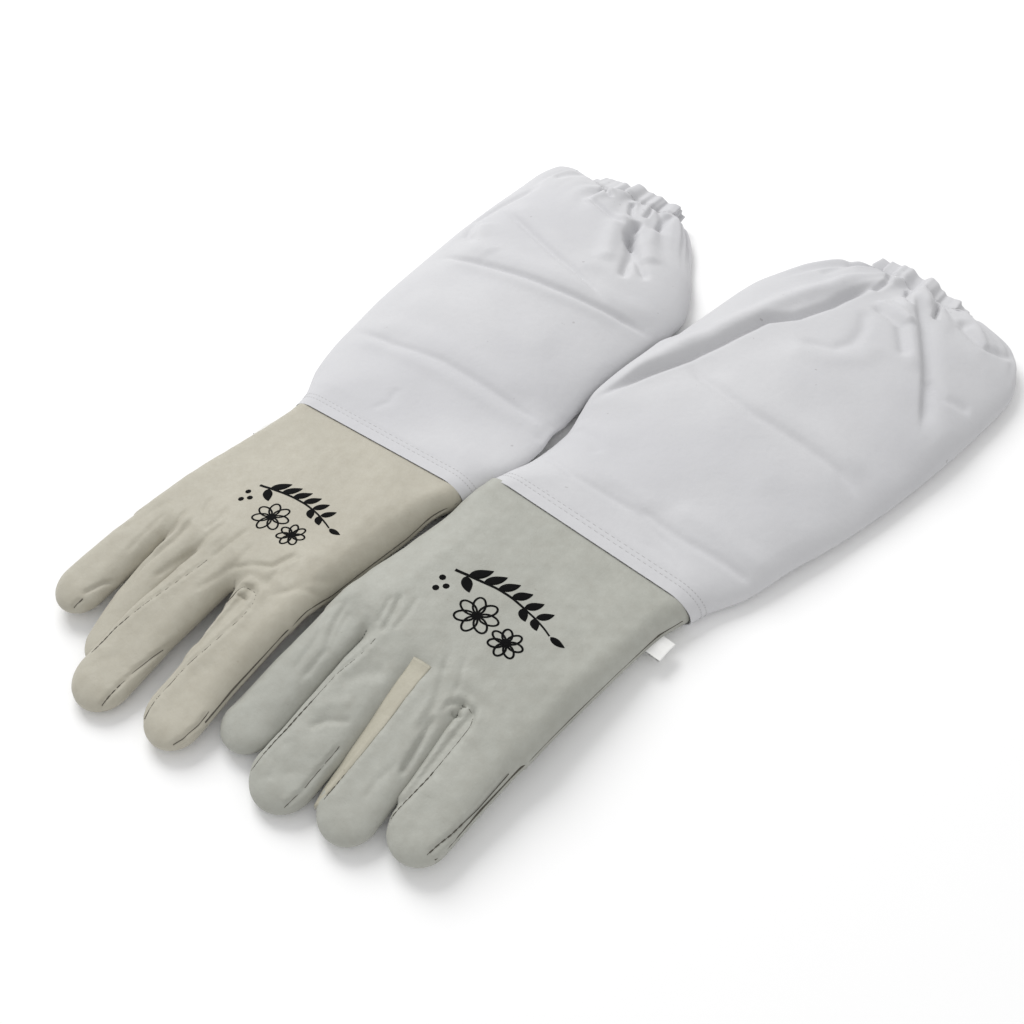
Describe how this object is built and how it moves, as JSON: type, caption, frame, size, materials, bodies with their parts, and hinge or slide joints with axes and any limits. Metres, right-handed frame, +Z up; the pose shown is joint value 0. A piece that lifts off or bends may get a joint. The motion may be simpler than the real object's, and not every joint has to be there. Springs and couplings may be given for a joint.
{
  "type": "pair of beekeeping gloves",
  "caption": "Pair of long beekeeping gloves: soft leather hands sewn to white canvas gauntlet sleeves with elasticated cuffs, lying palms down side by side.",
  "frame": {"origin": "centre of the pair's footprint, on the surface that it lies on", "axes": "+Y from the fingertips to the cuffs, +X from the right glove to the left glove, +Z up, away from the surface"},
  "size_m": [0.3542, 0.5264, 0.028],
  "materials": {
    "cream_leather": "soft matt cream sheep or goat leather with fine grain",
    "grey_leather": "soft matt grey-white sheep or goat leather with fine grain",
    "fourchette_leather": "soft matt cream leather strip",
    "canvas": "white plain-weave cotton canvas, matt",
    "elastic": "white knitted elastic band",
    "label": "white woven label tape, folded"
  },
  "bodies": {
    "right_sleeve": {"right_sleeve_back": "canvas", "right_sleeve_front": "canvas", "right_sleeve_seam": "canvas", "right_cuff_casing": "canvas", "right_cuff_elastic": "elastic"},
    "right_hand": {"right_hand_back": "cream_leather", "right_hand_palm": "cream_leather", "right_wrist_seam": "canvas", "right_care_label": "label"},
    "right_thumb": {"right_thumb_back": "cream_leather", "right_thumb_palm": "cream_leather"},
    "right_index": {"right_index_back": "cream_leather", "right_index_palm": "cream_leather", "right_index_outer_fourchette": "fourchette_leather"},
    "right_middle": {"right_middle_back": "cream_leather", "right_middle_palm": "cream_leather", "right_middle_inner_fourchette": "fourchette_leather", "right_middle_outer_fourchette": "fourchette_leather"},
    "right_ring": {"right_ring_back": "cream_leather", "right_ring_palm": "cream_leather", "right_ring_inner_fourchette": "fourchette_leather", "right_ring_outer_fourchette": "fourchette_leather"},
    "right_pinky": {"right_pinky_back": "cream_leather", "right_pinky_palm": "cream_leather", "right_pinky_inner_fourchette": "fourchette_leather"},
    "left_sleeve": {"left_sleeve_back": "canvas", "left_sleeve_front": "canvas", "left_sleeve_seam": "canvas", "left_cuff_casing": "canvas", "left_cuff_elastic": "elastic"},
    "left_hand": {"left_hand_back": "grey_leather", "left_hand_palm": "grey_leather", "left_wrist_seam": "canvas", "left_care_label": "label"},
    "left_thumb": {"left_thumb_back": "grey_leather", "left_thumb_palm": "grey_leather"},
    "left_index": {"left_index_back": "grey_leather", "left_index_palm": "grey_leather", "left_index_outer_fourchette": "fourchette_leather"},
    "left_middle": {"left_middle_back": "grey_leather", "left_middle_palm": "grey_leather", "left_middle_inner_fourchette": "fourchette_leather", "left_middle_outer_fourchette": "fourchette_leather"},
    "left_ring": {"left_ring_back": "grey_leather", "left_ring_palm": "grey_leather", "left_ring_inner_fourchette": "fourchette_leather", "left_ring_outer_fourchette": "fourchette_leather"},
    "left_pinky": {"left_pinky_back": "grey_leather", "left_pinky_palm": "grey_leather", "left_pinky_inner_fourchette": "fourchette_leather"}
  },
  "joints": [
    {"name": "left_glove_lift", "type": "slide", "parent": "right_sleeve", "child": "left_sleeve", "axis": [0, 0, 1], "range_m": [0, 0.25]},
    {"name": "right_wrist_bend", "type": "hinge", "parent": "right_sleeve", "child": "right_hand", "pos_m": [-0.0591, -0.065, 0.0213], "axis": [-1, 0, 0], "range_deg": [0, 50]},
    {"name": "right_thumb_swing", "type": "hinge", "parent": "right_hand", "child": "right_thumb", "pos_m": [-0.0191, -0.1112, 0.0049], "axis": [0, 0, 1], "range_deg": [0, 25]},
    {"name": "right_index_curl", "type": "hinge", "parent": "right_hand", "child": "right_index", "pos_m": [-0.0146, -0.1712, 0.01642], "axis": [1, 0, 0], "range_deg": [-18, 70]},
    {"name": "right_middle_curl", "type": "hinge", "parent": "right_hand", "child": "right_middle", "pos_m": [-0.0496, -0.1712, 0.01396], "axis": [1, 0, 0], "range_deg": [-18, 70]},
    {"name": "right_ring_curl", "type": "hinge", "parent": "right_hand", "child": "right_ring", "pos_m": [-0.0781, -0.1712, 0.01197], "axis": [1, 0, 0], "range_deg": [-18, 70]},
    {"name": "right_pinky_curl", "type": "hinge", "parent": "right_hand", "child": "right_pinky", "pos_m": [-0.1026, -0.1712, 0.01025], "axis": [1, 0, 0], "range_deg": [-18, 70]},
    {"name": "left_wrist_bend", "type": "hinge", "parent": "left_sleeve", "child": "left_hand", "pos_m": [0.0661, -0.0476, 0.0213], "axis": [-1, 0, 0], "range_deg": [0, 50]},
    {"name": "left_thumb_swing", "type": "hinge", "parent": "left_hand", "child": "left_thumb", "pos_m": [0.0261, -0.0938, 0.0049], "axis": [0, 0, -1], "range_deg": [0, 25]},
    {"name": "left_index_curl", "type": "hinge", "parent": "left_hand", "child": "left_index", "pos_m": [0.0186, -0.1538, 0.01663], "axis": [1, 0, 0], "range_deg": [-18, 70]},
    {"name": "left_middle_curl", "type": "hinge", "parent": "left_hand", "child": "left_middle", "pos_m": [0.0461, -0.1538, 0.0147], "axis": [1, 0, 0], "range_deg": [-18, 70]},
    {"name": "left_ring_curl", "type": "hinge", "parent": "left_hand", "child": "left_ring", "pos_m": [0.0746, -0.1538, 0.01271], "axis": [1, 0, 0], "range_deg": [-18, 70]},
    {"name": "left_pinky_curl", "type": "hinge", "parent": "left_hand", "child": "left_pinky", "pos_m": [0.1046, -0.1538, 0.0106], "axis": [1, 0, 0], "range_deg": [-18, 70]}
  ]
}
